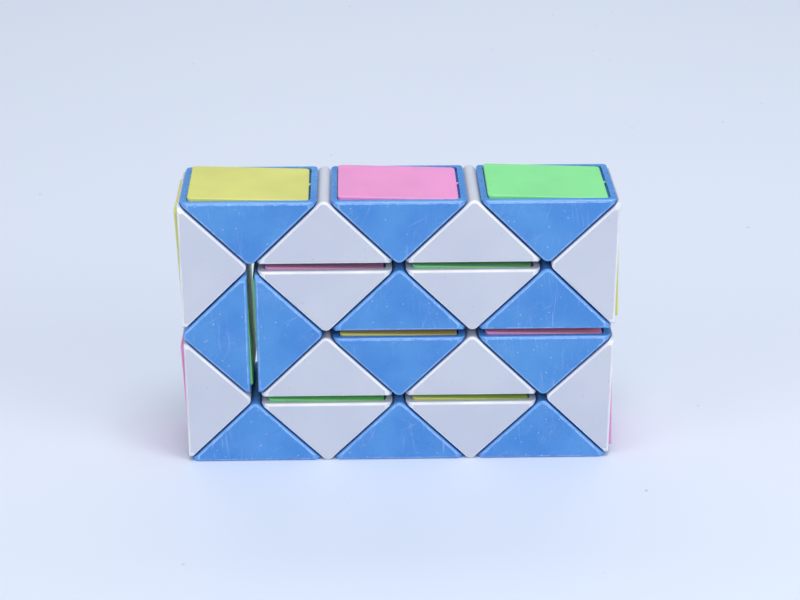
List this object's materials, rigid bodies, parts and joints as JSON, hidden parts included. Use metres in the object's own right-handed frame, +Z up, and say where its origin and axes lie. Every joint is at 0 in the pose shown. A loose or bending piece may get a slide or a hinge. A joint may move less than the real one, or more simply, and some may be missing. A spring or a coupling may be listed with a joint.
{
  "type": "twisty snake puzzle",
  "caption": "Chain of hollow plastic wedges with coloured covers, joined by sprung rivet swivels and folded into a flat upright block.",
  "frame": {"origin": "middle of the block's underside, which rests on the table", "axes": "+X along the block, three squares wide, towards the end without the loose ends; +Y away from the viewer, through the wedges' depth; +Z up, two squares high"},
  "size_m": [0.0846, 0.0198, 0.0557],
  "materials": {
    "blue_shell": "satin gloss, finely scratched, pale scuffs on the edges",
    "white_shell": "satin gloss, fine handling marks",
    "yellow_cover": "satin pale yellow",
    "green_cover": "satin mint green",
    "pink_cover": "satin pink",
    "pivot_steel": "plain zinc plated steel"
  },
  "bodies": {
    "wedge_01": {"wedge_01_shell": "blue_shell", "wedge_01_cover": "yellow_cover", "wedge_01_pivots": "pivot_steel"},
    "wedge_02": {"wedge_02_shell": "white_shell", "wedge_02_cover": "green_cover"},
    "wedge_03": {"wedge_03_shell": "blue_shell", "wedge_03_cover": "pink_cover", "wedge_03_pivots": "pivot_steel"},
    "wedge_04": {"wedge_04_shell": "white_shell", "wedge_04_cover": "pink_cover"},
    "wedge_05": {"wedge_05_shell": "blue_shell", "wedge_05_cover": "green_cover", "wedge_05_pivots": "pivot_steel"},
    "wedge_06": {"wedge_06_shell": "white_shell", "wedge_06_cover": "yellow_cover"},
    "wedge_07": {"wedge_07_shell": "blue_shell", "wedge_07_cover": "yellow_cover", "wedge_07_pivots": "pivot_steel"},
    "wedge_08": {"wedge_08_shell": "white_shell", "wedge_08_cover": "green_cover"},
    "wedge_09": {"wedge_09_shell": "blue_shell", "wedge_09_cover": "pink_cover", "wedge_09_pivots": "pivot_steel"},
    "wedge_10": {"wedge_10_shell": "white_shell", "wedge_10_cover": "pink_cover"},
    "wedge_11": {"wedge_11_shell": "blue_shell", "wedge_11_cover": "green_cover", "wedge_11_pivots": "pivot_steel"},
    "wedge_12": {"wedge_12_shell": "white_shell", "wedge_12_cover": "yellow_cover"},
    "wedge_13": {"wedge_13_shell": "blue_shell", "wedge_13_cover": "yellow_cover", "wedge_13_pivots": "pivot_steel"},
    "wedge_14": {"wedge_14_shell": "white_shell", "wedge_14_cover": "green_cover"},
    "wedge_15": {"wedge_15_shell": "blue_shell", "wedge_15_cover": "pink_cover", "wedge_15_pivots": "pivot_steel"},
    "wedge_16": {"wedge_16_shell": "white_shell", "wedge_16_cover": "pink_cover"},
    "wedge_17": {"wedge_17_shell": "blue_shell", "wedge_17_cover": "green_cover", "wedge_17_pivots": "pivot_steel"},
    "wedge_18": {"wedge_18_shell": "white_shell", "wedge_18_cover": "yellow_cover"},
    "wedge_19": {"wedge_19_shell": "blue_shell", "wedge_19_cover": "yellow_cover", "wedge_19_pivots": "pivot_steel"},
    "wedge_20": {"wedge_20_shell": "white_shell", "wedge_20_cover": "green_cover"},
    "wedge_21": {"wedge_21_shell": "blue_shell", "wedge_21_cover": "pink_cover", "wedge_21_pivots": "pivot_steel"},
    "wedge_22": {"wedge_22_shell": "white_shell", "wedge_22_cover": "pink_cover"},
    "wedge_23": {"wedge_23_shell": "blue_shell", "wedge_23_cover": "green_cover", "wedge_23_pivots": "pivot_steel"},
    "wedge_24": {"wedge_24_shell": "white_shell", "wedge_24_cover": "yellow_cover"}
  },
  "joints": [
    {"name": "swivel_01", "type": "hinge", "parent": "wedge_02", "child": "wedge_01", "pos_m": [-0.02121, 0, 0.04872], "axis": [-0.7071, 0, 0.7071], "continuous": true},
    {"name": "swivel_02", "type": "hinge", "parent": "wedge_03", "child": "wedge_02", "pos_m": [-0.00707, 0, 0.04872], "axis": [-0.7071, 0, -0.7071], "continuous": true},
    {"name": "swivel_03", "type": "hinge", "parent": "wedge_04", "child": "wedge_03", "pos_m": [0.00707, 0, 0.04872], "axis": [-0.7071, 0, 0.7071], "continuous": true},
    {"name": "swivel_04", "type": "hinge", "parent": "wedge_05", "child": "wedge_04", "pos_m": [0.02121, 0, 0.04872], "axis": [-0.7071, 0, -0.7071], "continuous": true},
    {"name": "swivel_05", "type": "hinge", "parent": "wedge_06", "child": "wedge_05", "pos_m": [0.03535, 0, 0.04872], "axis": [-0.7071, 0, 0.7071], "continuous": true},
    {"name": "swivel_06", "type": "hinge", "parent": "wedge_07", "child": "wedge_06", "pos_m": [0.03535, 0, 0.03458], "axis": [-0.7071, 0, -0.7071], "continuous": true},
    {"name": "swivel_07", "type": "hinge", "parent": "wedge_08", "child": "wedge_07", "pos_m": [0.02121, 0, 0.03458], "axis": [-0.7071, 0, 0.7071], "continuous": true},
    {"name": "swivel_08", "type": "hinge", "parent": "wedge_09", "child": "wedge_08", "pos_m": [0.00707, 0, 0.03458], "axis": [-0.7071, 0, -0.7071], "continuous": true},
    {"name": "swivel_09", "type": "hinge", "parent": "wedge_10", "child": "wedge_09", "pos_m": [-0.00707, 0, 0.03458], "axis": [-0.7071, 0, 0.7071], "continuous": true},
    {"name": "swivel_10", "type": "hinge", "parent": "wedge_11", "child": "wedge_10", "pos_m": [-0.02121, 0, 0.03458], "axis": [-0.7071, 0, -0.7071], "continuous": true},
    {"name": "swivel_11", "type": "hinge", "parent": "wedge_12", "child": "wedge_11", "pos_m": [-0.02121, 0, 0.02043], "axis": [-0.7071, 0, 0.7071], "continuous": true},
    {"name": "swivel_12", "type": "hinge", "parent": "wedge_13", "child": "wedge_12", "pos_m": [-0.00707, 0, 0.02043], "axis": [-0.7071, 0, -0.7071], "continuous": true},
    {"name": "swivel_13", "type": "hinge", "parent": "wedge_14", "child": "wedge_13", "pos_m": [0.00707, 0, 0.02043], "axis": [-0.7071, 0, 0.7071], "continuous": true},
    {"name": "swivel_14", "type": "hinge", "parent": "wedge_15", "child": "wedge_14", "pos_m": [0.02121, 0, 0.02043], "axis": [-0.7071, 0, -0.7071], "continuous": true},
    {"name": "swivel_15", "type": "hinge", "parent": "wedge_16", "child": "wedge_15", "pos_m": [0.03535, 0, 0.02043], "axis": [-0.7071, 0, 0.7071], "continuous": true},
    {"name": "swivel_16", "type": "hinge", "parent": "wedge_17", "child": "wedge_16", "pos_m": [0.03535, 0, 0.00629], "axis": [-0.7071, 0, -0.7071], "continuous": true},
    {"name": "swivel_17", "type": "hinge", "parent": "wedge_18", "child": "wedge_17", "pos_m": [0.02121, 0, 0.00629], "axis": [-0.7071, 0, 0.7071], "continuous": true},
    {"name": "swivel_18", "type": "hinge", "parent": "wedge_19", "child": "wedge_18", "pos_m": [0.00707, 0, 0.00629], "axis": [-0.7071, 0, -0.7071], "continuous": true},
    {"name": "swivel_19", "type": "hinge", "parent": "wedge_20", "child": "wedge_19", "pos_m": [-0.00707, 0, 0.00629], "axis": [-0.7071, 0, 0.7071], "continuous": true},
    {"name": "swivel_20", "type": "hinge", "parent": "wedge_20", "child": "wedge_21", "pos_m": [-0.02121, 0, 0.00629], "axis": [0.7071, 0, 0.7071], "continuous": true},
    {"name": "swivel_21", "type": "hinge", "parent": "wedge_21", "child": "wedge_22", "pos_m": [-0.03535, 0, 0.00629], "axis": [0.7071, 0, -0.7071], "continuous": true},
    {"name": "swivel_22", "type": "hinge", "parent": "wedge_22", "child": "wedge_23", "pos_m": [-0.03535, 0, 0.02043], "axis": [0.7071, 0, 0.7071], "continuous": true},
    {"name": "swivel_23", "type": "hinge", "parent": "wedge_23", "child": "wedge_24", "pos_m": [-0.03535, 0, 0.03458], "axis": [0.7071, 0, -0.7071], "range_deg": [-64, 64]}
  ],
  "couplings": [
    {"joint": "swivel_01", "follows": "swivel_23", "ratio": -0.682},
    {"joint": "swivel_02", "follows": "swivel_23", "ratio": 0.172},
    {"joint": "swivel_03", "follows": "swivel_23", "ratio": 0.116},
    {"joint": "swivel_04", "follows": "swivel_23", "ratio": 0.281},
    {"joint": "swivel_05", "follows": "swivel_23", "ratio": -0.036},
    {"joint": "swivel_06", "follows": "swivel_23", "ratio": -0.128},
    {"joint": "swivel_07", "follows": "swivel_23", "ratio": -0.145},
    {"joint": "swivel_08", "follows": "swivel_23", "ratio": -0.179},
    {"joint": "swivel_09", "follows": "swivel_23", "ratio": -0.069},
    {"joint": "swivel_10", "follows": "swivel_23", "ratio": 0.162},
    {"joint": "swivel_11", "follows": "swivel_23", "ratio": -0.198},
    {"joint": "swivel_12", "follows": "swivel_23", "ratio": 0.094},
    {"joint": "swivel_13", "follows": "swivel_23", "ratio": 0.136},
    {"joint": "swivel_14", "follows": "swivel_23", "ratio": 0.183},
    {"joint": "swivel_15", "follows": "swivel_23", "ratio": -0.223},
    {"joint": "swivel_16", "follows": "swivel_23", "ratio": -0.039},
    {"joint": "swivel_17", "follows": "swivel_23", "ratio": 0.064},
    {"joint": "swivel_18", "follows": "swivel_23", "ratio": -0.488},
    {"joint": "swivel_19", "follows": "swivel_23", "ratio": 0.24},
    {"joint": "swivel_20", "follows": "swivel_23", "ratio": 0.182},
    {"joint": "swivel_21", "follows": "swivel_23", "ratio": -0.338},
    {"joint": "swivel_22", "follows": "swivel_23", "ratio": -0.155}
  ]
}
